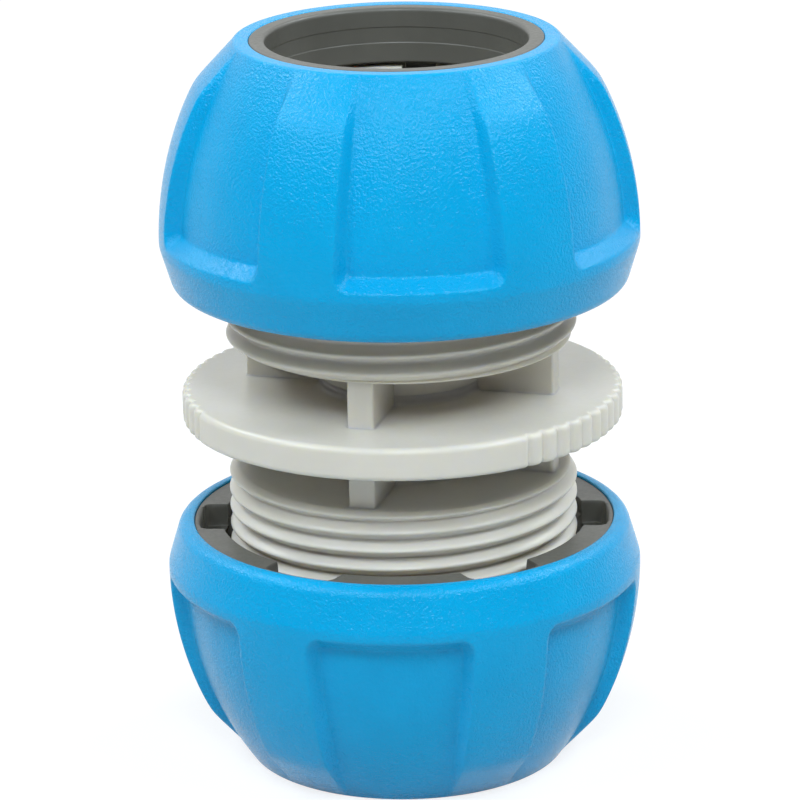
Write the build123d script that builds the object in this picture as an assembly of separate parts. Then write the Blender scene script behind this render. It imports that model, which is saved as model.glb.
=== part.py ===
"""Hose mender: joins two cut ends of a garden hose.

A white moulded body carries a barbed hose tail and a threaded collar at each end, with a
round disc between them. A nut turns on each collar. Each nut is a hard liner with a soft
grip moulded over it, and holds a slotted clamp ring that closes round the hose.

Millimetres. +Z is up, along the bore. The origin is at the centre of the lower nut's mouth,
on which the mender stands. Angles are measured about Z from the front, which is -Y, towards +X.
"""
from build123d import *
import math
import os

# Hose: the bore that the tail fills and the mouth that takes its outside
hose_bore = 12.5
mouth_r = 9.74

# Tube and barbed tail, whose length runs from the middle of the disc
tube_bore_r = 4.5
hub_play = 0.05
barb_height = 0.55
barb_count = 4
barb_pitch = 2.3
barb_back = 0.35
pilot_drop = 0.3
pilot_length = 1.8
pilot_chamfer = 0.3
tail_length = 22.0
hub_r = hose_bore / 2 - hub_play
pilot_r = hub_r - pilot_drop

# Clamp ring inside each nut
clamp_play = 0.16
clamp_wall = 1.3
clamp_flange_width = 1.4
clamp_flange_thickness = 1.1
clamp_insert = 1.76
clamp_slot_count = 6
clamp_slot_width = 2.4
clamp_slot_margin = 1.7
clamp_slot_turn_deg = 166.25
clamp_axial_gap = 0.1
clamp_radial_gap = 0.2
clamp_bore_r = mouth_r + clamp_play
clamp_outer_r = clamp_bore_r + clamp_wall
clamp_flange_r = clamp_outer_r + clamp_flange_width

# Threaded collars, with the clamp ring's fingers inside them
collar_bore_r = clamp_outer_r + clamp_radial_gap
collar_wall = 1.1
collar_length = 10.3
collar_floor = 1.6
collar_lead = 0.6
thread_pitch = 1.4
thread_depth = 0.7
thread_first = 0.78
thread_crest = 0.16
thread_root = 0.1
collar_root_r = collar_bore_r + collar_wall
collar_r = collar_root_r + thread_depth

# Disc in the middle of the body, with a knurled stretch of rim on each side
disc_reach = 3.45
disc_thickness = 2.5
disc_edge_round = 0.45
knurl_teeth = 16
knurl_pitch_deg = 5.0
knurl_tooth_r = 1.2
knurl_crest_drop = 0.1
knurl_depth = 0.65
knurl_middle_deg = 74.0
disc_r = collar_r + disc_reach

# Webs between the disc and the collars
web_count = 4
web_thickness = 2.0
web_height = 3.65
web_turn_deg = -15.0
web_reach_r = collar_bore_r + collar_wall / 2

# Nuts: heights run from the thread end (0) to the mouth, and the gap from the disc's middle
nut_height = 18.6
nut_gap = 9.25
upper_nut_turn_deg = 5.5
lower_nut_turn_deg = -2.7

# Inside of the liner, from the mouth down
mouth_edge = 0.25
mouth_land = 3.5
mouth_relief_length = 0.9
mouth_relief_depth = 0.56
chamber_wall = 0.5
retainer_height = 0.35
retainer_lip = 0.3
thread_clearance = 0.15
lead_bore_play = 0.5
lead_bore_length = 1.3
mouth_relief_r = mouth_r + mouth_relief_depth
chamber_r = clamp_flange_r + clamp_radial_gap
chamber_top = nut_height - mouth_land - mouth_relief_length
clamp_top = chamber_top - clamp_axial_gap
chamber_bottom = clamp_top - clamp_flange_thickness - clamp_axial_gap
retainer_r = chamber_r - retainer_lip
thread_bore_r = collar_r + thread_clearance
thread_bore_length = chamber_bottom - retainer_height
lead_bore_r = thread_bore_r + lead_bore_play

# Outside of the liner, on which the grip is moulded
liner_wall = 2.6
liner_step = 0.75
liner_step_height = 8.5
liner_neck_length = 1.0
liner_shoulder_rise = 0.2
liner_nose_wall = 1.2
liner_nose_length = 1.15
notch_count = 6
notch_width = 5.4
notch_back_wall = 0.4
notch_depth = 1.8
notch_round = 0.65
notch_turn_deg = -1.6
liner_r = thread_bore_r + liner_wall
liner_nose_r = mouth_r + liner_nose_wall

# Outside of the grip: lip, ridge, dome down to the crease, cone up to the mouth
lip_width = 1.05
lip_round = 1.0
ridge_wall = 2.05
ridge_height = 3.3
dome_drop = 2.9
cone_height = 3.2
mouth_rim = 1.11
top_round = 0.35
lip_r = liner_r + lip_width
ridge_r = liner_r + ridge_wall
crease_r = ridge_r - dome_drop
crease_height = nut_height - cone_height
cone_top_r = liner_nose_r + mouth_rim

# Sunk panels of the grip
panel_count = 6
panel_half_floor_deg = 15.6
panel_half_edge_deg = 19.6
panel_depth = 1.0
panel_ledge_rise = 0.8
panel_fade = 0.5
panel_wall_lift = 0.06
panel_ledge_height = ridge_height + panel_ledge_rise

# A cutter runs past the face that it cuts by this much
over = 0.6

middle = nut_gap + nut_height
collar_start = disc_thickness / 2 + web_height
collar_end = collar_start + collar_length
clamp_bottom = collar_end - nut_gap - clamp_insert


def at(r, height):
    """A point of a turned outline: radius and height in the plane that holds +X and Z."""
    return Vector(r, 0, height)


def outline(*points):
    """Closed face through points given as (radius, height)."""
    corners = [at(*point) for point in points]
    return make_face([Line(a, b) for a, b in zip(corners, corners[1:] + corners[:1])])


def turned(face):
    return revolve(face, axis=Axis.Z)


def spaced(shape, count, first_deg=0.0):
    """Copies of a shape made at +X, moved to the front and spread evenly about Z."""
    return [Rot(0, 0, first_deg - 90 + 360 * i / count) * shape for i in range(count)]


def arc_radius(rise, run):
    """Radius of an arc that starts parallel to Z and moves in by rise over run."""
    return (rise * rise + run * run) / (2 * rise)


def arc_point(start, radius, height):
    """Point at a height on the arc that leaves start parallel to Z and bends towards Z."""
    up = height - start[1]
    return (start[0] - radius + math.sqrt(radius * radius - up * up), height)


def arc(start, radius, low, high):
    """Edge along that arc between two heights."""
    ends = [arc_point(start, radius, h) for h in (low, (low + high) / 2, high)]
    return ThreePointArc(*[at(*p) for p in ends])


def tail_outline():
    """Hub and hose tail of one end: tube, barbs that rise towards the disc, plain pilot."""
    barb_r = hub_r + barb_height
    first = tail_length - pilot_length - barb_count * barb_pitch
    points = [(tube_bore_r, 0), (hub_r, 0), (hub_r, first)]
    for i in range(barb_count):
        low = first + i * barb_pitch
        tip_r = pilot_r if i == barb_count - 1 else hub_r
        points += [(barb_r, low), (barb_r, low + barb_back), (tip_r, low + barb_pitch)]
    points += [
        (pilot_r, tail_length - pilot_chamfer),
        (pilot_r - pilot_chamfer, tail_length),
        (tube_bore_r, tail_length),
    ]
    return outline(*points)


def collar_outline():
    """Threaded collar with its floor. The thread is drawn as rings at the thread's pitch."""
    flank = (thread_pitch - thread_crest - thread_root) / 2
    edge = thread_first - thread_crest / 2
    points = [
        (hub_r - over, collar_start),
        (collar_r - edge, collar_start),
        (collar_r, collar_start + edge),
    ]
    crest_end = collar_start + thread_first + thread_crest / 2
    while crest_end + 2 * flank + thread_root < collar_end:
        points += [
            (collar_r, crest_end),
            (collar_root_r, crest_end + flank),
            (collar_root_r, crest_end + flank + thread_root),
            (collar_r, crest_end + 2 * flank + thread_root),
        ]
        crest_end += thread_pitch
    points += [
        (collar_root_r, collar_end),
        (collar_bore_r + collar_lead, collar_end),
        (collar_bore_r, collar_end - collar_lead),
        (collar_bore_r, collar_start + collar_floor),
        (hub_r - over, collar_start + collar_floor),
    ]
    return outline(*points)


def disc():
    """Disc with two knurled stretches of rim for the fingers."""
    half = disc_thickness / 2
    rim = outline((0, -half), (disc_r, -half), (disc_r, half), (0, half))
    rim = fillet(rim.vertices().sort_by(Axis.X)[-2:], disc_edge_round)
    plate = Cylinder(disc_r, disc_thickness)
    span = knurl_teeth * knurl_pitch_deg
    low_r = disc_r - knurl_depth
    strip = outline((low_r, -disc_thickness), (disc_r + over, -disc_thickness),
                    (disc_r + over, disc_thickness), (low_r, disc_thickness))
    tooth = Pos(disc_r - knurl_crest_drop - knurl_tooth_r, 0, 0) * Cylinder(knurl_tooth_r, disc_thickness)
    for side in (knurl_middle_deg, knurl_middle_deg + 180):
        first = side - 90 - span / 2
        plate -= Rot(0, 0, first) * revolve(strip, axis=Axis.Z, revolution_arc=span)
        plate += [Rot(0, 0, first + (i + 0.5) * knurl_pitch_deg) * tooth for i in range(knurl_teeth)]
    return plate & turned(rim)


def mender_body():
    web_length = web_reach_r - tube_bore_r - over
    web = Pos(tube_bore_r + over + web_length / 2, 0, collar_start / 2) * Box(
        web_length, web_thickness, collar_start + over)
    end = turned(tail_outline()) + turned(collar_outline())
    end += spaced(web, web_count, web_turn_deg)
    body = disc() + end + mirror(end, about=Plane.XY)
    body -= Cylinder(tube_bore_r, 2 * (tail_length + over))
    return Pos(0, 0, middle) * body


def seat_points():
    """The surface that the liner and the grip share, from the thread end to the mouth."""
    neck_r = liner_r - liner_step
    return [
        (liner_r, 0),
        (liner_r, liner_step_height),
        (neck_r, liner_step_height),
        (neck_r, liner_step_height + liner_neck_length),
        (chamber_r + chamber_wall, chamber_top + liner_shoulder_rise),
        (liner_nose_r, nut_height - liner_nose_length),
        (liner_nose_r, nut_height),
    ]


def nut_liner():
    """Hard part of a nut: bore for the thread, chamber for the clamp ring, round mouth."""
    inside = [
        (mouth_r + mouth_edge, nut_height),
        (mouth_r, nut_height - mouth_edge),
        (mouth_r, nut_height - mouth_land),
        (mouth_relief_r, nut_height - mouth_land),
        (mouth_relief_r, chamber_top),
        (chamber_r, chamber_top),
        (chamber_r, chamber_bottom),
        (retainer_r, chamber_bottom - retainer_lip / 2),
        (thread_bore_r, thread_bore_length),
        (thread_bore_r, lead_bore_length + lead_bore_play),
        (lead_bore_r, lead_bore_length),
        (lead_bore_r, 0),
    ]
    notch_reach = liner_r - notch_back_wall
    notch_length = notch_reach - thread_bore_r + over
    notch = Pos(notch_reach - notch_length / 2, 0, notch_depth / 2) * Box(
        notch_length, notch_width, notch_depth)
    notch = fillet(notch.edges().filter_by(Axis.Z).sort_by(Axis.X)[-2:], notch_round)
    liner = turned(outline(*seat_points(), *inside))
    return liner - spaced(notch, notch_count, 180 / notch_count + notch_turn_deg)


def cone_r(height):
    """Radius of the cone between the crease and the mouth."""
    return crease_r + (cone_top_r - crease_r) * (height - crease_height) / cone_height


def panel_cutter():
    """One sunk panel at +X: a floor that fades out on the cone, a ledge and two sloped walls."""
    top = nut_height + over
    ridge = (ridge_r, ridge_height)
    dome_radius = arc_radius(ridge_r - crease_r, crease_height - ridge_height)
    floor_start = (ridge_r - panel_depth, panel_ledge_height)
    fade_height = nut_height - panel_fade
    floor_radius = arc_radius(floor_start[0] - cone_r(fade_height), fade_height - panel_ledge_height)
    ledge_top = panel_ledge_height + panel_depth
    outer_r = ridge_r + over
    low = (outer_r, panel_ledge_height - over)

    def section(inner, first, last):
        corners = [at(*last), at(outer_r, top), at(*low), at(*first)]
        return make_face(inner + [Line(a, b) for a, b in zip(corners, corners[1:])])

    floor_first = arc_point(floor_start, floor_radius, ledge_top)
    floor_last = arc_point(floor_start, floor_radius, top)
    floor = section(
        [arc(floor_start, floor_radius, ledge_top, crease_height),
         arc(floor_start, floor_radius, crease_height, top)],
        floor_first, floor_last)
    shifted = (ridge_r + panel_wall_lift, ridge_height)
    edge_first = arc_point(shifted, dome_radius, panel_ledge_height)
    edge_crease = arc_point(shifted, dome_radius, crease_height)
    edge_last = (cone_r(top) + panel_wall_lift, top)
    edge = section(
        [arc(shifted, dome_radius, panel_ledge_height, crease_height),
         Line(at(*edge_crease), at(*edge_last))],
        edge_first, edge_last)
    turn = panel_half_floor_deg
    cutter = revolve(Rot(0, 0, -turn) * floor, axis=Axis.Z, revolution_arc=2 * turn)
    for side in (-1, 1):
        cutter += loft([Rot(0, 0, side * turn) * floor, Rot(0, 0, side * panel_half_edge_deg) * edge],
                       ruled=True)
    return cutter


def nut_grip():
    """Soft outside of a nut: a lip, a ridge, a dome, a cone and the sunk panels."""
    ridge = (ridge_r, ridge_height)
    dome_radius = arc_radius(ridge_r - crease_r, crease_height - ridge_height)
    seat = [at(*point) for point in seat_points()]
    edges = [Line(a, b) for a, b in zip(seat, seat[1:])]
    edges += [
        Line(seat[-1], at(cone_top_r, nut_height)),
        Line(at(cone_top_r, nut_height), at(crease_r, crease_height)),
        arc(ridge, dome_radius, ridge_height, crease_height),
        Line(at(*ridge), at(lip_r, 0)),
        Line(at(lip_r, 0), seat[0]),
    ]
    face = make_face(edges)
    corner = face.vertices().sort_by_distance(at(lip_r, 0))[0]
    face = fillet(corner, lip_round)
    corner = face.vertices().sort_by_distance(at(cone_top_r, nut_height))[0]
    face = fillet(corner, top_round)
    return turned(face) - spaced(panel_cutter(), panel_count)


def clamp_ring():
    """Slotted ring: slots open by turns at the fingers' end and at the flange."""
    flange_low = clamp_top - clamp_flange_thickness
    ring = turned(outline(
        (clamp_bore_r, clamp_bottom), (clamp_outer_r, clamp_bottom),
        (clamp_outer_r, flange_low), (clamp_flange_r, flange_low),
        (clamp_flange_r, clamp_top), (clamp_bore_r, clamp_top)))
    slot_length = clamp_top - clamp_bottom - clamp_slot_margin
    slot = Pos(clamp_bore_r, 0, 0) * Box(clamp_bore_r, clamp_slot_width, 2 * slot_length)
    half_step = 180 / clamp_slot_count
    ring -= spaced(Pos(0, 0, clamp_top) * slot, clamp_slot_count, clamp_slot_turn_deg)
    ring -= spaced(Pos(0, 0, clamp_bottom) * slot, clamp_slot_count, clamp_slot_turn_deg + half_step)
    return ring


def on_upper(shape):
    return Pos(0, 0, middle + nut_gap) * Rot(0, 0, upper_nut_turn_deg) * shape


def on_lower(shape):
    return Pos(0, 0, middle - nut_gap) * Rot(0, 0, lower_nut_turn_deg) * Rot(180, 0, 0) * shape


parts = {"mender_body": mender_body()}
for name, make in (("nut_liner", nut_liner), ("nut_grip", nut_grip), ("clamp_ring", clamp_ring)):
    shape = make()
    parts["upper_" + name] = on_upper(shape)
    parts["lower_" + name] = on_lower(shape)

os.makedirs("parts", exist_ok=True)
for name, shape in parts.items():
    export_step(shape, f"parts/{name}.step")
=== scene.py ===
"""Looks of the hose mender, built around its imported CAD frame.

Blender works in metres. The sizes here are in millimetres and each mesh is scaled by MM once.
Angles are measured about Z from the front, which is -Y, towards +X.
"""
import math

import bmesh
import bpy
import numpy as np
from mathutils import Matrix, Vector


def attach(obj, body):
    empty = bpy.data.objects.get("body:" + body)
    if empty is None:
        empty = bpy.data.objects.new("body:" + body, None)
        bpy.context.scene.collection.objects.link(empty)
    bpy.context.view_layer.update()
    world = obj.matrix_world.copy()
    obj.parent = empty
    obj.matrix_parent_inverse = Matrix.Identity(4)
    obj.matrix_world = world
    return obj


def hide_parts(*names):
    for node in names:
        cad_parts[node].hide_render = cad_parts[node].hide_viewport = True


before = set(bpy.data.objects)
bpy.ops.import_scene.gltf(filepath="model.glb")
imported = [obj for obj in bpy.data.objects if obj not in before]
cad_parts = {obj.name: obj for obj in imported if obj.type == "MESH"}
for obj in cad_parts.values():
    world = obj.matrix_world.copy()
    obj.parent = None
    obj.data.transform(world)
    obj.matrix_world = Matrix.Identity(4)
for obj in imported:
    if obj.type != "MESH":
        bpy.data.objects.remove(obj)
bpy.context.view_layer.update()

MM = 0.001
# Points nearer to each other than this, in metres, are merged
MERGE = 1e-8
# Points of an outline's rounded corner, and how far beyond it the flat sides get one more point:
# this share of its radius, up to a limit
ARC_POINTS = 7
SUPPORT_SHARE = 0.3
SUPPORT_MOST = 0.08

# Places and sizes of the part's source
nut_gap = 9.25
nut_height = 18.6
middle = nut_gap + nut_height
tube_bore_r = 4.5
hub_r = 6.2
pilot_r = 5.9
pilot_length = 1.8
barb_r = 6.75
barb_pitch = 2.3
barb_back = 0.35
barb_count = 4
tail_length = 22.0
collar_start = 4.9
collar_end = 15.2
collar_floor = 1.6
collar_bore_r = 11.4
collar_lead = 0.6
thread_root_r = 12.5
thread_crest_r = 13.2
thread_pitch = 1.4
disc_r = 16.65
disc_half = 1.25
disc_round = 0.45
mouth_r = 9.74
mouth_relief_r = 10.3
chamber_r = 12.8
chamber_wall = 0.5
chamber_top = 14.2
chamber_bottom = 12.9
nut_bore_r = 13.35
liner_r = 15.95
liner_neck_r = 15.2
liner_neck_length = 1.0
liner_step_height = 8.5
liner_shoulder_rise = 0.2
liner_nose_r = 10.94
liner_nose_length = 1.15
liner_neck_top = liner_step_height + liner_neck_length
liner_shoulder_r = chamber_r + chamber_wall
liner_shoulder_height = chamber_top + liner_shoulder_rise
liner_nose_start = nut_height - liner_nose_length
grip_lip_r = 17.0
grip_lip_round = 1.0
ridge_r = 18.0
ridge_height = 3.3
crease_r = 15.1
crease_height = 15.4
grip_top_r = 12.05

# Set from the photograph: the part's source has turns of 5.5 and -2.7 degrees,
# and a land of 3.5
upper_nut_turn = math.radians(4.9)
lower_nut_turn = math.radians(-4.0)
mouth_land = 4.2


def smooth(low, high, x):
    """S-curve in x: 0 up to low, 1 from high on, and 3 t^2 - 2 t^3 between them."""
    t = np.clip((x - low) / (high - low), 0, 1)
    return t * t * (3 - 2 * t)


def lesser(a, b, soft):
    """The lesser of two curves with their crossing rounded: (a + b - sqrt((a - b)^2 + soft^2)) / 2."""
    return (a + b - np.sqrt((a - b) ** 2 + soft ** 2)) / 2


def bend(before, corner, after, size):
    """Arc of radius size tangent to the sides before-corner and corner-after. Its centre is on the
    corner's bisector, and a spherical blend joins the two tangent points. One more point lies on
    each side, so that the flat sides are shaded flat."""
    back, ahead = before - corner, after - corner
    back, ahead = back / np.linalg.norm(back), ahead / np.linalg.norm(ahead)
    half = math.acos(np.clip(back @ ahead, -1, 1)) / 2
    reach = size / math.tan(half)
    bisector = (back + ahead) / np.linalg.norm(back + ahead)
    centre = corner + bisector * size / math.sin(half)
    first, last = corner + back * reach - centre, corner + ahead * reach - centre
    turn = math.pi - 2 * half
    t = np.linspace(0, 1, ARC_POINTS)[:, None]
    arc = centre + (np.sin((1 - t) * turn) * first + np.sin(t * turn) * last) / math.sin(turn)
    support = min(SUPPORT_SHARE * size, SUPPORT_MOST)
    return np.vstack([corner + back * (reach + support), arc, corner + ahead * (reach + support)])


def outline(*runs):
    """Closed outline. A run is an array of points (radius, height), or one corner (radius, height,
    rounding), which becomes an arc tangent to the lines to its neighbours."""
    runs = [np.atleast_2d(np.array(run, float)) for run in runs]
    parts = []
    for i, run in enumerate(runs):
        if run.shape[1] == 3:
            before, after = runs[i - 1][-1, :2], runs[(i + 1) % len(runs)][0, :2]
            run = bend(before, run[0, :2], after, run[0, 2])
        parts.append(run)
    return np.vstack(parts)


def outwards(points, faces):
    """Faces that all point out: turned over where the sum of a . (b - a) x (c - a) is negative."""
    a, b, c, d = (points[faces[:, i]] for i in range(4))
    normal = np.cross(b - a, c - a) + np.cross(c - a, d - a)
    return faces if (a * normal).sum() > 0 else faces[:, ::-1]


def grid(points, round_rows=True):
    """Shell of quads over points (columns, rows, 3). Columns close on themselves, and so do rows
    unless each end row is drawn in to one point."""
    columns, rows = points.shape[:2]
    here = np.arange(columns * rows).reshape(columns, rows)
    beside = np.roll(here, -1, axis=0)
    faces = np.stack([here, beside, np.roll(beside, -1, axis=1), np.roll(here, -1, axis=1)], -1)
    if not round_rows:
        faces = faces[:, :-1]
    points, faces = points.reshape(-1, 3), faces.reshape(-1, 4)
    return points, outwards(points, faces)


def turned(radius, angle, height):
    """Shell of a closed outline carried round Z: columns run with the angle and rows round the
    outline. Point = (radius sin angle, -radius cos angle, height)."""
    return grid(np.stack(np.broadcast_arrays(
        radius * np.sin(angle), -radius * np.cos(angle), height), -1))


def full_turn(count):
    """Column of equal angles round a full turn, ready to meet a row of heights."""
    return np.linspace(0, 2 * np.pi, count, endpoint=False)[:, None]


def through(stops, counts):
    """Rising values from the first stop to the last, evenly spaced between one stop and the next,
    with a count for each stretch. A stretch leaves its end to the next one; the last holds its own."""
    holds_end = [False] * (len(counts) - 1) + [True]
    return np.concatenate([np.linspace(low, high, count, endpoint=end)
                           for low, high, count, end in zip(stops, stops[1:], counts, holds_end)])


def close_columns(features, first, near, far, counts):
    """Column of angles round a piece with equal features, one of them at the angle first. They stand
    close together from near to far on both sides of a feature's middle. All are in degrees, and the
    counts are those up to near, from near to far and beyond."""
    pitch = 360 / features
    half = through((0, near, far, pitch / 2), counts)
    sector = np.unique(np.concatenate([-half, half]))[1:]
    return np.radians((sector + first + pitch * np.arange(features)[:, None]).ravel())[:, None]


def piece(name, shells, finish, body, slot, *nodes):
    """One object of several closed shells, smooth shaded, that rides on a body and stands for
    CAD nodes."""
    starts = np.cumsum([0] + [len(points) for points, faces in shells])
    points = np.vstack([points for points, faces in shells]) * MM
    faces = np.vstack([faces + start for (_, faces), start in zip(shells, starts)])
    mesh = bpy.data.meshes.new(name)
    mesh.from_pydata(points, [], faces)
    solid = bmesh.new()
    solid.from_mesh(mesh)
    bmesh.ops.remove_doubles(solid, verts=solid.verts, dist=MERGE)
    solid.to_mesh(mesh)
    solid.free()
    mesh.polygons.foreach_set("use_smooth", np.ones(len(mesh.polygons), bool))
    mesh.update()
    made = bpy.data.objects.new(name, mesh)
    bpy.context.scene.collection.objects.link(made)
    mesh.materials.append(finish)
    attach(made, body)
    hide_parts(*nodes)


# Camera at the photograph's place: its distance and width are in photograph pixels of this size
PIXEL = 7.5614e-5
FOCAL_PIXELS = 4521
IMAGE_PIXELS = 800
TARGET_DROP_PIXELS = 3.295
SHIFT_PIXELS = 2.19
SENSOR = 36
distance = FOCAL_PIXELS * PIXEL
elevation = math.radians(17.61)
roll = math.radians(0.92)
target = Vector((0, 0, middle * MM - TARGET_DROP_PIXELS * PIXEL))
cam_data = bpy.data.cameras.new("camera")
cam = bpy.data.objects.new("camera", cam_data)
bpy.context.scene.collection.objects.link(cam)
cam_data.sensor_width = SENSOR
cam_data.lens = SENSOR * FOCAL_PIXELS / IMAGE_PIXELS
cam_data.shift_x = -SHIFT_PIXELS / IMAGE_PIXELS
cam_data.clip_start = 0.01
cam.location = target + Vector((0, -math.cos(elevation), math.sin(elevation))) * distance
cam.rotation_euler = (Matrix.Rotation(math.pi / 2 - elevation, 3, "X")
                      @ Matrix.Rotation(-roll, 3, "Z")).to_euler()
bpy.context.scene.camera = cam
bpy.context.scene.view_settings.view_transform = "Standard"


def linear(code):
    """Colour from an sRGB hex value: each channel c becomes ((c + 0.055) / 1.055)^2.4 above 0.04045."""
    channels = [int(code[i:i + 2], 16) / 255 for i in (1, 3, 5)]
    return [c / 12.92 if c <= 0.04045 else ((c + 0.055) / 1.055) ** 2.4 for c in channels] + [1]


def add(tree, kind, inputs=(), **settings):
    """Adds a node. Settings are its own properties; inputs are its sockets' values, or the output
    sockets that they are linked from."""
    made = tree.nodes.new(kind)
    for name, value in settings.items():
        setattr(made, name, value)
    for socket, value in dict(inputs).items():
        if isinstance(value, bpy.types.NodeSocket):
            tree.links.new(value, made.inputs[socket])
        else:
            made.inputs[socket].default_value = value
    return made


def new_material(name):
    """An empty node material and its tree."""
    made = bpy.data.materials.new(name)
    made.use_nodes = True
    made.node_tree.nodes.clear()
    return made, made.node_tree


def soft_touch_rubber():
    """Thermoplastic rubber moulded against a spark-eroded steel: a fine grain that breaks the
    gloss into small bright specks, over a slightly uneven sky blue."""
    made, tree = new_material("moulded_soft_touch_rubber")
    place = add(tree, "ShaderNodeTexCoord").outputs["Object"]
    grain = add(tree, "ShaderNodeTexNoise", {"Vector": place, "Scale": 1 / (0.2 * MM), "Detail": 1.0,
                                             "Roughness": 0.6})
    cloud = add(tree, "ShaderNodeTexNoise", {"Vector": place, "Scale": 1 / (4.0 * MM), "Detail": 2.0})
    tint = add(tree, "ShaderNodeValToRGB", {"Fac": cloud.outputs["Fac"]})
    tint.color_ramp.elements[0].position, tint.color_ramp.elements[0].color = 0.3, linear("#009FD7")
    tint.color_ramp.elements[1].position, tint.color_ramp.elements[1].color = 0.7, linear("#00A3DB")
    bump = add(tree, "ShaderNodeBump", {"Height": grain.outputs["Fac"], "Strength": 1.0,
                                        "Distance": 0.085 * MM})
    gloss = add(tree, "ShaderNodeMapRange", {"Value": grain.outputs["Fac"], "From Min": 0.35,
                                             "From Max": 0.65, "To Min": 0.24, "To Max": 0.17})
    shader = add(tree, "ShaderNodeBsdfPrincipled", {
        "Base Color": tint.outputs["Color"], "Roughness": gloss.outputs["Result"], "IOR": 1.5,
        "Specular IOR Level": 0.18, "Normal": bump.outputs["Normal"]})
    add(tree, "ShaderNodeOutputMaterial", {"Surface": shader.outputs["BSDF"]})
    return made


def moulded_plastic(name, light, dark, roughness, mark, glow):
    """Hard moulded plastic: faint flow clouds in the colour, and a polish with fine marks of the
    given size in millimetres, so its gloss is satin and slightly uneven. Glow is the share of light
    that goes in and comes out warmer within about a millimetre."""
    made, tree = new_material(name)
    place = add(tree, "ShaderNodeTexCoord").outputs["Object"]
    cloud = add(tree, "ShaderNodeTexNoise", {"Vector": place, "Scale": 1 / (5.0 * MM), "Detail": 3.0})
    marks = add(tree, "ShaderNodeTexNoise", {"Vector": place, "Scale": 1 / (mark * MM), "Detail": 4.0,
                                             "Roughness": 0.6})
    tint = add(tree, "ShaderNodeValToRGB", {"Fac": cloud.outputs["Fac"]})
    tint.color_ramp.elements[0].position, tint.color_ramp.elements[0].color = 0.3, linear(dark)
    tint.color_ramp.elements[1].position, tint.color_ramp.elements[1].color = 0.7, linear(light)
    gloss = add(tree, "ShaderNodeMapRange", {"Value": marks.outputs["Fac"], "From Min": 0.3,
                                             "From Max": 0.7, "To Min": roughness - 0.05,
                                             "To Max": roughness + 0.07})
    bump = add(tree, "ShaderNodeBump", {"Height": marks.outputs["Fac"], "Strength": 0.1,
                                        "Distance": 0.03 * MM})
    shader = add(tree, "ShaderNodeBsdfPrincipled", {
        "Base Color": tint.outputs["Color"], "Roughness": gloss.outputs["Result"], "IOR": 1.49,
        "Subsurface Weight": glow, "Subsurface Radius": (1.0, 0.8, 0.35), "Subsurface Scale": 1.2 * MM,
        "Normal": bump.outputs["Normal"]})
    add(tree, "ShaderNodeOutputMaterial", {"Surface": shader.outputs["BSDF"]})
    return made


rubber = soft_touch_rubber()
# Polypropylene in off-white: slightly waxy, warm where light is caught between its walls
white_plastic = moulded_plastic("moulded_white_polypropylene", "#D7D2C9", "#D3CEC3", 0.33, 0.5, 0.4)
# Glass-filled nylon in warm grey: duller, with a faint mottle of fibres at its surface
grey_plastic = moulded_plastic("moulded_grey_nylon", "#605F59", "#585751", 0.40, 0.35, 0.0)


# Grip: the outside is three curves that meet softly, and the panels are sunk towards one arc. A
# panel's half widths are in degrees, and its tapers in degrees for each millimetre of height.
panel_count = 6
panel_floor_half = 18.2
panel_floor_taper = 0.05
panel_edge_half = 20.5
panel_edge_taper = 0.08
panel_ledge_low = 4.0
panel_ledge_high = 4.95
panel_corner = 1.5
panel_soft = 0.08
ridge_soft = 0.05
crease_soft = 0.25
grip_foot_round = 0.15
grip_top_round = 0.35
grip_mouth_round = 0.12
# Points of the outline nearer to the outside than this belong to it
grip_skin = 0.3
# Rows are closer together at the ridge, the panel's ledge and the crease, and columns at the
# panels' walls: near, far and counts, as close_columns takes them
grip_row_stops = (0.8, 3.0, 5.8, 14.6, 16.4, 18.0)
grip_row_counts = (8, 36, 30, 14, 12)
panel_wall_columns = (14, 22, (9, 28, 7))


def arc_radius(rise, run):
    """Radius of an arc that starts parallel to Z and moves in by rise over run."""
    return (rise * rise + run * run) / (2 * rise)


def arc_r(start_r, start_height, radius, height):
    """Radius at a height on the arc that leaves (start_r, start_height) parallel to Z:
    start_r - radius + sqrt(radius^2 - (height - start_height)^2)."""
    return start_r - radius + np.sqrt(radius ** 2 - (height - start_height) ** 2)


def grip_r(height):
    """Outside of the grip without panels: the least of the band under the ridge, the dome's arc
    and the cone, each crossing rounded."""
    band = grip_lip_r + (ridge_r - grip_lip_r) * height / ridge_height
    dome = arc_r(ridge_r, ridge_height,
                 arc_radius(ridge_r - crease_r, crease_height - ridge_height), height)
    cone = crease_r + (grip_top_r - crease_r) * (height - crease_height) / (nut_height - crease_height)
    return lesser(lesser(band, dome, ridge_soft), cone, crease_soft)


panel_floor_r = 16.8
panel_floor_start = 4.1
panel_fade_height = 18.45
panel_floor_arc = arc_radius(panel_floor_r - grip_r(np.array(panel_fade_height)),
                             panel_fade_height - panel_floor_start)


def panel_floor(height):
    """Radius of a panel's floor: one arc that meets the cone near the mouth."""
    return arc_r(panel_floor_r, panel_floor_start, panel_floor_arc, height)


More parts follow.
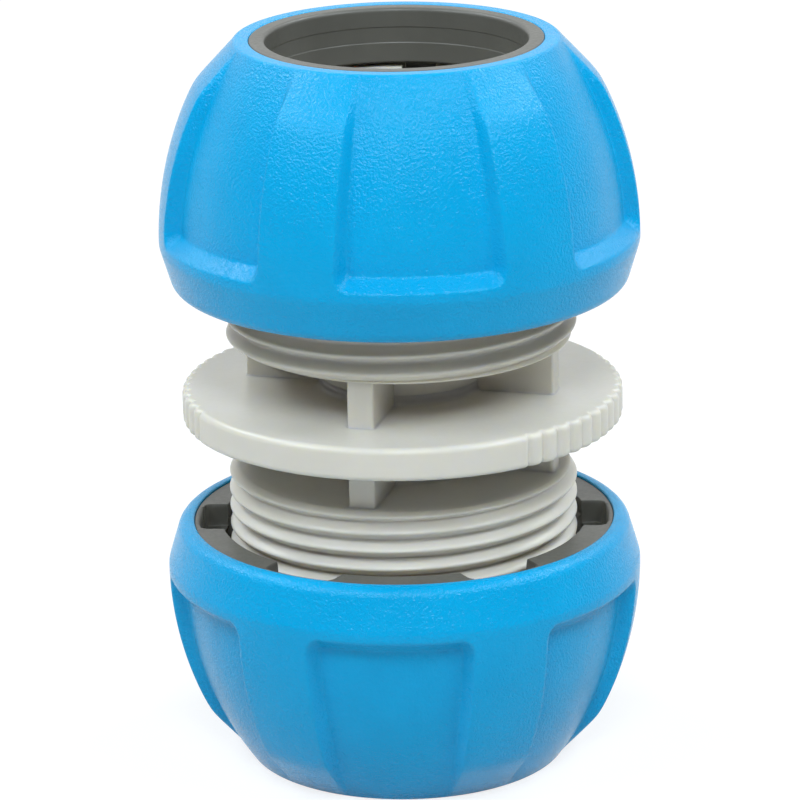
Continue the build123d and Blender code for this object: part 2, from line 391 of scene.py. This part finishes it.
def nut_grip():
    """Grip in the nut's own frame, as radius, angle and height: the outline is carried round Z and
    its radius drops by (outside - floor) times a share. With x and y the ways up a panel's side wall
    and its ledge, the share is c - sqrt(max(c - x, 0)^2 + max(c - y, 0)^2), kept between 0 and 1 and
    rounded there, so that the panel has round corners."""
    heights = through(grip_row_stops, grip_row_counts)
    outside = np.column_stack([grip_r(heights), heights])
    seat = [(liner_nose_r, liner_nose_start), (liner_shoulder_r, liner_shoulder_height),
            (liner_neck_r, liner_neck_top), (liner_neck_r, liner_step_height),
            (liner_r, liner_step_height)]
    radius, height = outline(
        (liner_r, 0, grip_foot_round), (grip_lip_r, 0, grip_lip_round), outside,
        (grip_top_r, nut_height, grip_top_round), (liner_nose_r, nut_height, grip_mouth_round), seat).T
    angle = close_columns(panel_count, 0, *panel_wall_columns)
    half_pitch = 180 / panel_count
    off = np.abs((np.degrees(angle) + half_pitch) % (2 * half_pitch) - half_pitch)
    edge = panel_edge_half - panel_edge_taper * (height - panel_ledge_low)
    floor = panel_floor_half - panel_floor_taper * (height - panel_ledge_low)
    x = (edge - off) / (edge - floor)
    y = (height - panel_ledge_low) / (panel_ledge_high - panel_ledge_low)
    share = panel_corner - np.hypot(np.clip(panel_corner - x, 0, None),
                                    np.clip(panel_corner - y, 0, None))
    share = -lesser(-lesser(share, 1, panel_soft), 0, panel_soft)
    on_outside = radius > grip_r(height) - grip_skin
    sunk = np.clip(radius - panel_floor(height), 0, None) * on_outside
    return radius - sunk * share, angle, height


# Threads: the body's grooves and the nuts' crests follow one right-hand helix, so they keep in step
# as a nut turns and slides. From about 2.7 turns outwards a nut's thread has left the collar's.
# The helix's place is the height of a groove at the front.
upper_groove = 0.9
lower_groove = -0.09
thread_soft = 0.25
thread_valley_r = 12.33
nut_thread_play = 0.2


def from_groove(angle, height, groove):
    """Distance along Z from the nearest groove of the helix height = groove + pitch (angle / turn + n)."""
    turns = (height - groove) / thread_pitch - angle / (2 * np.pi)
    return np.abs(turns - np.round(turns)) * thread_pitch


def thread_r(angle, height, groove):
    """Radius of the body's thread: a vee whose crest is rounded as a hyperbola. With c the share of
    the way from the crest to the valley, it drops by depth (sqrt(c^2 + s^2) - s) / (sqrt(1 + s^2) - s),
    where depth is the crest's radius less the valley's."""
    share = 1 - from_groove(angle, height, groove) / (thread_pitch / 2)
    drop = np.sqrt(share ** 2 + thread_soft ** 2) - thread_soft
    full = math.sqrt(1 + thread_soft ** 2) - thread_soft
    return thread_crest_r - (thread_crest_r - thread_valley_r) * drop / full


def from_upper_nut(angle, height):
    """From the upper nut's frame, whose heights run from its thread end, to the body's."""
    return angle + upper_nut_turn, nut_gap + height


def from_lower_nut(angle, height):
    """From the lower nut's frame, which is upside down, to the body's."""
    return lower_nut_turn - angle, -nut_gap - height


def placed(place, radius, angle, height):
    """Shell of a nut's outline at that nut's place. Heights then run from the disc's middle."""
    angle, height = place(angle, height)
    return turned(radius, angle, middle + height)


# Liner: notches and a lead bore in its thread end, rings in its mouth, and a thread inside. The
# notches' turn is in degrees and set from the photograph; the part's source has -1.6.
notch_count = 6
notch_half = 2.75
notch_depth = 1.8
notch_side = 0.12
notch_wall_r = 15.58
notch_round = 0.65
# The sink of a notch fades out up to this height
notch_reach = 3.6
notch_turn = -2.9
notch_side_columns = (7, 12.5, (4, 32, 10))
first_notch = 180 / notch_count + notch_turn
# Gap between the liner and the grip's seat, and how far the liner's thread end stands back
liner_play = 0.02
liner_end = 0.16
liner_end_land = 0.03
liner_end_bore_land = 0.15
liner_end_rows = 11
lead_bore_r = 13.85
lead_bore_length = 1.3
lead_bore_cone = 0.4
mouth_ring_top = 17.15
mouth_ring_bottom = 15.87
mouth_ring_depth = 0.04
mouth_ring_slope = 0.08
retainer_lip = 0.3
retainer_slope = 0.15
retainer_height = 0.4
# Rows of the nut's thread, from, to and how many, and the heights over which it grows and wanes
nut_thread_rows = (12.4, 2.0, 60)
nut_thread_grows = (1.9, 2.4)
nut_thread_wanes = (12.0, 12.4)
liner_fine_round = 0.05
liner_edge_round = 0.08
liner_step_round = 0.1
liner_nose_round = 0.12
mouth_round = 0.3
# Points this near to a radius are on it
on_radius = 0.01


def nut_liner(place, groove):
    """Liner in the nut's own frame: the outline is carried round Z, and a helical crest stands in
    from its bore. Its thread end sinks at the six notches by depth times an S-curve of the distance
    from the notch's middle line, whose half width is less by c - sqrt(c^2 - e^2) at its outer corners."""
    end_rows = np.linspace(lead_bore_r + liner_end_bore_land, notch_wall_r, liner_end_rows)
    thread_rows = np.linspace(*nut_thread_rows)
    outer_r, neck_r = liner_r - liner_play, liner_neck_r - liner_play
    step_height, land_end = liner_step_height - liner_play, nut_height - mouth_land
    ring_r = mouth_r + mouth_ring_depth
    radius, height = outline(
        [(notch_wall_r + liner_end_land, liner_end)], (outer_r, liner_end, liner_fine_round),
        [(outer_r, step_height), (neck_r, step_height), (neck_r, liner_neck_top),
         (liner_shoulder_r - liner_play, liner_shoulder_height - liner_play),
         (liner_nose_r - liner_play, liner_nose_start - liner_play)],
        (liner_nose_r - liner_play / 2, nut_height, liner_nose_round), (mouth_r, nut_height, mouth_round),
        (mouth_r, mouth_ring_top, liner_fine_round),
        (ring_r, mouth_ring_top - mouth_ring_slope, liner_fine_round),
        (ring_r, mouth_ring_bottom + mouth_ring_slope, liner_fine_round),
        (mouth_r, mouth_ring_bottom, liner_fine_round), (mouth_r, land_end, liner_step_round),
        [(mouth_relief_r, land_end), (mouth_relief_r, chamber_top),
         (chamber_r, chamber_top), (chamber_r, chamber_bottom),
         (chamber_r - retainer_lip, chamber_bottom - retainer_slope),
         (nut_bore_r, chamber_bottom - retainer_height)],
        np.column_stack([np.full_like(thread_rows, nut_bore_r), thread_rows]),
        (nut_bore_r, lead_bore_length + lead_bore_cone, liner_edge_round),
        (lead_bore_r, lead_bore_length, liner_step_round), (lead_bore_r, liner_end, liner_edge_round),
        np.column_stack([end_rows, np.full_like(end_rows, liner_end)])).T
    angle = close_columns(notch_count, first_notch, *notch_side_columns)
    pitch = 2 * np.pi / notch_count
    off = (angle - math.radians(first_notch)) % pitch
    across = radius * np.sin(np.minimum(off, pitch - off))
    corner = np.clip(radius - (notch_wall_r - notch_round), 0, notch_round)
    half = notch_half - notch_round + np.sqrt(notch_round ** 2 - corner ** 2)
    sink = notch_depth * (1 - smooth(half - notch_side, half + notch_side, across))
    reaches = np.clip(1 - height / notch_reach, 0, 1) * (radius < notch_wall_r + on_radius)
    in_bore = np.abs(radius - nut_bore_r) < on_radius
    in_bore = in_bore * smooth(*nut_thread_grows, height) * (1 - smooth(*nut_thread_wanes, height))
    crest = np.minimum(thread_r(*place(angle, height), groove) + nut_thread_play - nut_bore_r, 0)
    return radius + crest * in_bore, angle, height + sink * reaches


piece("upper_grip", [placed(from_upper_nut, *nut_grip())], rubber, "upper_nut", "blue_grip",
      "upper_nut_grip")
piece("lower_grip", [placed(from_lower_nut, *nut_grip())], rubber, "lower_nut", "blue_grip",
      "lower_nut_grip")
piece("upper_liner", [placed(from_upper_nut, *nut_liner(from_upper_nut, upper_groove))],
      grey_plastic, "upper_nut", "grey_liner", "upper_nut_liner")
piece("lower_liner", [placed(from_lower_nut, *nut_liner(from_lower_nut, lower_groove))],
      grey_plastic, "lower_nut", "grey_liner", "lower_nut_liner")


# Body: heights run from the disc's middle, and side is 1 above the disc and -1 below it. The disc
# and each collar end in a sleeve that stands just proud of the hub, with its inside hidden in the
# tube's wall.
hub_fillet = 0.3
sleeve_r = hub_r + 0.02
inner_r = 5.4
disc_sleeve = 0.8
collar_sleeve_top = 3.0
collar_sleeve_foot = 0.6
collar_chamfer = 1.4
collar_foot_land = 0.05
collar_chamfer_soft = 0.1
collar_skin = 0.16
collar_foot_round = 0.15
collar_end_round = 0.2
collar_lead_round = 0.08
collar_floor_round = 0.4
collar_columns = 144
collar_rows = 80
collar_first_row = 0.25
collar_last_row = 0.3


def collar(side, groove):
    """Threaded collar: the outline is carried round Z, and its outside is the least of the thread
    and a chamfer at each end."""
    heights = np.linspace(collar_start + collar_first_row, collar_end - collar_last_row, collar_rows)
    sleeve_low, sleeve_high = collar_start - collar_sleeve_foot, collar_start + collar_sleeve_top
    radius, height = outline(
        (thread_root_r, collar_start, collar_foot_round),
        np.column_stack([np.full_like(heights, thread_root_r), heights]),
        (thread_root_r, collar_end, collar_end_round),
        (collar_bore_r + collar_lead, collar_end, collar_lead_round),
        (collar_bore_r, collar_end - collar_lead, collar_lead_round),
        (collar_bore_r, collar_start + collar_floor, collar_floor_round),
        (sleeve_r, collar_start + collar_floor, hub_fillet),
        [(sleeve_r, sleeve_high), (inner_r, sleeve_high), (inner_r, sleeve_low), (sleeve_r, sleeve_low)],
        (sleeve_r, collar_start, hub_fillet)).T
    angle = full_turn(collar_columns)
    thread = thread_r(angle, side * height, groove) - thread_root_r
    lead_in = (height - collar_start) * collar_chamfer + collar_foot_land
    lead_out = collar_end - height
    on_outside = radius > thread_root_r - collar_skin
    rise = lesser(lesser(thread, lead_in, collar_chamfer_soft), lead_out, collar_chamfer_soft)
    return turned(radius + on_outside * rise, angle, middle + side * height)


# Knurl: each lobe is an arc of a circle, and two stretches of the rim have them. Angles on the disc
# are in degrees.
knurl_first = 34.0
knurl_pitch = 5.0
knurl_count = 16
knurl_depth = 0.42
knurl_fade = (-0.6, 1.0)
parting_angle = -15.0
parting_fade = 0.25
parting_step = 0.06
# The rim's cuts start at the first of these radii and are whole from the second
rim_radii = (15.4, 16.1)
rim_rows = 0.3
face_rows = (11.0, 14.0)
disc_columns = 720


def knurl(angle):
    """How far the rim is cut in: the lobe's circle, radius - sqrt(radius^2 - distance^2), on the two
    stretches, and a short S-curve back to the plain rim beside them."""
    degrees = np.degrees(angle)
    half = np.radians(knurl_pitch / 2) * disc_r
    lobe_r = arc_radius(knurl_depth, half)
    along = (degrees - knurl_first) % 180
    from_lobe = np.radians(along % knurl_pitch - knurl_pitch / 2) * disc_r
    lobes = lobe_r - np.sqrt(lobe_r ** 2 - from_lobe ** 2)
    span = knurl_pitch * knurl_count
    beyond = np.where(along > 90 + span / 2, 180 - along, along - span)
    return np.where(along <= span, lobes, knurl_depth * (1 - smooth(*knurl_fade, beyond)))


def disc():
    """Disc: the outline is carried round Z, its rim is cut in by the knurl, and one half stands a
    hair proud of the other along the mould's parting line."""
    sleeve_end = disc_half + disc_sleeve
    inner_row, outer_row = face_rows
    radius, height = outline(
        [(inner_r, -sleeve_end), (sleeve_r, -sleeve_end)], (sleeve_r, -disc_half, hub_fillet),
        [(inner_row, -disc_half), (outer_row, -disc_half)], (disc_r, -disc_half, disc_round),
        [(disc_r, -rim_rows), (disc_r, rim_rows)], (disc_r, disc_half, disc_round),
        [(rim_radii[0], disc_half), (outer_row, disc_half), (inner_row, disc_half)],
        (sleeve_r, disc_half, hub_fillet), [(sleeve_r, sleeve_end), (inner_r, sleeve_end)]).T
    angle = full_turn(disc_columns)
    past_line = np.degrees(angle) - parting_angle
    proud = smooth(-parting_fade, parting_fade, (past_line + 90) % 360 - 90)
    proud = proud * (1 - smooth(-parting_fade, parting_fade, (past_line - 90) % 360 - 90))
    rim = smooth(*rim_radii, radius)
    return turned(radius - knurl(angle) * rim - parting_step * (1 - proud) * rim, angle, middle + height)


# Tails: the roundings of a barb and of the tube's ends
barb_start_round = 0.08
barb_edge_round = 0.12
barb_back_round = 0.1
barb_foot_round = 0.06
pilot_end_round = 0.35
tube_end_round = 0.25
tail_columns = 72


def tails():
    """Tube with a barbed tail at each end, carried round Z as one outline."""
    first = tail_length - pilot_length - barb_count * barb_pitch
    low = first + barb_pitch * np.arange(barb_count)
    foot_r = np.where(np.arange(barb_count) < barb_count - 1, hub_r, pilot_r)
    corners = [(hub_r, first, barb_start_round)]
    for start, end_r in zip(low, foot_r):
        corners += [(barb_r, start, barb_edge_round), (barb_r, start + barb_back, barb_back_round)]
        corners += [(end_r, start + barb_pitch, barb_foot_round)]
    corners += [(pilot_r, tail_length, pilot_end_round), (tube_bore_r, tail_length, tube_end_round)]
    mirrored = [(r, -h, size) for r, h, size in reversed(corners)]
    radius, height = outline(*corners, *mirrored).T
    return turned(radius, full_turn(tail_columns), middle + height)


# Webs: four on each side of the disc, the first at an angle in degrees. Each end reaches a little
# way into the disc or the collar.
web_count = 4
web_half = 1.0
web_reach_r = 11.95
web_round = 0.2
web_fillet = 0.12
web_overlap = 0.2
web_turn = -15.0
web_columns = 24
web_fillet_rows = 6
web_rows = 5


def web(side, degrees):
    """Web between the disc and a collar: a rounded rectangle, half sizes a and b and corner c,
    carried up Z. Its corner grows by f - sqrt(f^2 - (f - d)^2) at a distance d from either end, the
    fillet, and both ends close on a point inside the disc and the collar."""
    low, high = disc_half, collar_start
    fillet_rows = web_fillet * np.linspace(0, 1, web_fillet_rows) ** 2
    height = np.concatenate([[low - web_overlap], low + fillet_rows,
                             np.linspace(low, high, web_rows)[1:-1],
                             high - fillet_rows[::-1], [high + web_overlap]])
    near = np.clip(np.minimum(height - low, high - height), 0, web_fillet)
    grow = web_fillet - np.sqrt(web_fillet ** 2 - (web_fillet - near) ** 2)
    grow, height = np.concatenate([[0], grow, [0]]), np.concatenate([height[:1], height, height[-1:]])
    size = np.ones(len(height))
    size[[0, -1]] = 0
    turn = full_turn(web_columns) + np.pi / web_columns
    middle_r = (inner_r + web_reach_r) / 2
    reach = (web_reach_r - inner_r) / 2
    corner = web_round + grow
    out = middle_r + size * (np.sign(np.cos(turn)) * (reach - web_round) + corner * np.cos(turn))
    across = size * (np.sign(np.sin(turn)) * (web_half - web_round) + corner * np.sin(turn))
    angle = math.radians(degrees)
    points = np.stack(np.broadcast_arrays(
        out * math.sin(angle) + across * math.cos(angle),
        -out * math.cos(angle) + across * math.sin(angle), middle + side * height), -1)
    return grid(points, False)


webs = [web(side, web_turn + 360 / web_count * i) for side in (-1, 1) for i in range(web_count)]
piece("white_body", [disc(), collar(1, upper_groove), collar(-1, lower_groove), tails()] + webs,
      white_plastic, "body", "white_body", "mender_body")

# Clamp ring, in the nut's own frame. Its top is 0.1 lower than in the part's source, and its slots
# are about a degree off. The slots' turn is in degrees.
clamp_bore_r = 9.9
clamp_outer_r = 11.2
clamp_flange_r = 12.6
clamp_low = 4.19
clamp_high = 14.0
clamp_flange_low = 13.0
clamp_slot_half = 1.2
clamp_slot_side = 0.1
clamp_slot_rest = 1.7
clamp_slot_turn = 45.6
# Slots that are open at the flange and slots that are open at the fingers' end, taken together
clamp_slot_count = 12
clamp_slot_columns = (4.8, 7.8, (4, 22, 5))
clamp_bore_low_round = 0.15
clamp_finger_round = 0.3
clamp_flange_fillet = 0.2
clamp_flange_low_round = 0.15
clamp_flange_high_round = 0.2
clamp_bore_high_round = 0.3


def clamp_ring():
    """Slotted ring: slots open by turns at the flange and at the fingers' end. The outline is carried
    round Z, and in a slot its heights are drawn together, evenly, into the wall that the slot
    leaves. Whether a place is in a slot is 1 minus an S-curve of its distance from the slot's
    middle line. The flange ends just before its slots."""
    radius, height = outline(
        (clamp_bore_r, clamp_low, clamp_bore_low_round),
        (clamp_outer_r, clamp_low, clamp_finger_round),
        (clamp_outer_r, clamp_flange_low, clamp_flange_fillet),
        (clamp_flange_r, clamp_flange_low, clamp_flange_low_round),
        (clamp_flange_r, clamp_high, clamp_flange_high_round),
        (clamp_bore_r, clamp_high, clamp_bore_high_round)).T
    angle = close_columns(clamp_slot_count, clamp_slot_turn, *clamp_slot_columns)
    pitch = 2 * np.pi / clamp_slot_count
    off = (angle - math.radians(clamp_slot_turn) + pitch) % (2 * pitch) - pitch
    inner, outer = clamp_slot_half - clamp_slot_side, clamp_slot_half + clamp_slot_side
    from_flange_slot = radius * np.sin(np.abs(off))
    at_flange = 1 - smooth(inner, outer, from_flange_slot)
    at_fingers = 1 - smooth(inner, outer, radius * np.sin(pitch - np.abs(off)))
    slot_length = clamp_high - clamp_low - clamp_slot_rest
    low, high = clamp_low + slot_length * at_fingers, clamp_high - slot_length * at_flange
    share = (height - clamp_low) / (clamp_high - clamp_low)
    no_flange = 1 - smooth(outer, outer + 2 * clamp_slot_side, from_flange_slot)
    radius = radius - no_flange * np.clip(radius - clamp_outer_r, 0, None)
    return radius, angle, low + share * (high - low)


piece("upper_clamp", [placed(from_upper_nut, *clamp_ring())], white_plastic, "upper_clamp",
      "white_clamp", "upper_clamp_ring")
piece("lower_clamp", [placed(from_lower_nut, *clamp_ring())], white_plastic, "lower_clamp",
      "white_clamp", "lower_clamp_ring")


# Stage: a white floor that keeps a faint shadow, and a surrounding that the camera sees white. Gloss
# sees it white behind the mender, and darker towards the front. Lengths here are in metres.
shadow_reach = 0.08
plain_reach = 0.3
plain_share_near = 0.75
floor_half = 3.0
white_light = (1, 1, 1, 1)


def white_floor():
    """Pale painted floor. The camera and gloss see it white: near the object three parts plain white
    and one part the paint's own shading, which keeps its shadow, and all plain white further out."""
    made, tree = new_material("painted_pale_floor")
    rays = add(tree, "ShaderNodeLightPath")
    seen = add(tree, "ShaderNodeMath", {0: rays.outputs["Is Camera Ray"],
                                        1: rays.outputs["Is Glossy Ray"]}, operation="MAXIMUM")
    seen = add(tree, "ShaderNodeMath", {0: seen.outputs[0],
                                        1: rays.outputs["Is Transmission Ray"]}, operation="MAXIMUM")
    place = add(tree, "ShaderNodeTexCoord").outputs["Object"]
    away = add(tree, "ShaderNodeVectorMath", {0: place}, operation="LENGTH")
    part = add(tree, "ShaderNodeMapRange", {
        "Value": away.outputs["Value"], "From Min": shadow_reach, "From Max": plain_reach,
        "To Min": plain_share_near, "To Max": 1.0})
    share = add(tree, "ShaderNodeMath", {0: seen.outputs[0], 1: part.outputs["Result"]},
                operation="MULTIPLY")
    colour = add(tree, "ShaderNodeMixRGB", {0: seen.outputs[0], 1: linear("#CACAC8"), 2: white_light})
    paint = add(tree, "ShaderNodeBsdfDiffuse", {"Color": colour.outputs[0]})
    plain = add(tree, "ShaderNodeEmission", {"Color": white_light, "Strength": 1.05})
    mix = add(tree, "ShaderNodeMixShader", {0: share.outputs[0], 1: paint.outputs[0],
                                            2: plain.outputs[0]})
    add(tree, "ShaderNodeOutputMaterial", {"Surface": mix.outputs[0]})
    return made


floor_mesh = bpy.data.meshes.new("floor")
floor_mesh.from_pydata([(-floor_half, -floor_half, 0), (floor_half, -floor_half, 0),
                        (floor_half, floor_half, 0), (-floor_half, floor_half, 0)], [], [(0, 1, 2, 3)])
floor_mesh.materials.append(white_floor())
floor = bpy.data.objects.new("floor", floor_mesh)
bpy.context.scene.collection.objects.link(floor)

world = bpy.data.worlds.new("studio")
bpy.context.scene.world = world
world.use_nodes = True
tree = world.node_tree
tree.nodes.clear()
rays = add(tree, "ShaderNodeLightPath")
way = add(tree, "ShaderNodeSeparateXYZ", {0: add(tree, "ShaderNodeTexCoord").outputs["Generated"]})
behind = add(tree, "ShaderNodeMapRange", {"Value": way.outputs["Y"], "From Min": -0.3, "From Max": 0.5,
                                          "To Min": 0.15, "To Max": 1.0})
gloss = add(tree, "ShaderNodeMath", {0: rays.outputs["Is Glossy Ray"], 1: behind.outputs["Result"]},
            operation="MULTIPLY")
seen = add(tree, "ShaderNodeMath", {0: rays.outputs["Is Camera Ray"],
                                    1: rays.outputs["Is Transmission Ray"]}, operation="MAXIMUM")
seen = add(tree, "ShaderNodeMath", {0: seen.outputs[0], 1: gloss.outputs[0]}, operation="MAXIMUM")
around = add(tree, "ShaderNodeBackground", {"Color": white_light, "Strength": 0.05})
white = add(tree, "ShaderNodeBackground", {"Color": white_light, "Strength": 1.0})
mix = add(tree, "ShaderNodeMixShader", {0: seen.outputs[0], 1: around.outputs[0], 2: white.outputs[0]})
add(tree, "ShaderNodeOutputWorld", {"Surface": mix.outputs[0]})


# Lamps: a ring of square softboxes round the mender, which all face its middle
lamp_distance = 0.6
lamp_rise = math.radians(46)
lamp_size = 0.2
lamp_colour = (0.87, 0.95, 1.0)


def softbox(name, degrees, power):
    """Lamp at an angle round the mender. Its place is the distance times the unit vector of the
    angle and the rise, from the mender's middle."""
    data = bpy.data.lights.new(name, "AREA")
    data.energy, data.size, data.color = power, lamp_size, lamp_colour
    lamp = bpy.data.objects.new(name, data)
    aim, turn = Vector((0, 0, middle * MM)), math.radians(degrees)
    lamp.location = aim + lamp_distance * Vector((
        math.cos(lamp_rise) * math.sin(turn), -math.cos(lamp_rise) * math.cos(turn), math.sin(lamp_rise)))
    lamp.rotation_euler = (aim - lamp.location).to_track_quat("-Z", "Y").to_euler()
    bpy.context.scene.collection.objects.link(lamp)


for name, degrees, power in (("front_softbox", 0, 1.8), ("left_softbox", -60, 1.5),
                             ("right_softbox", 60, 1.5), ("left_back_softbox", -120, 1.35),
                             ("right_back_softbox", 120, 1.35)):
    softbox(name, degrees, power)
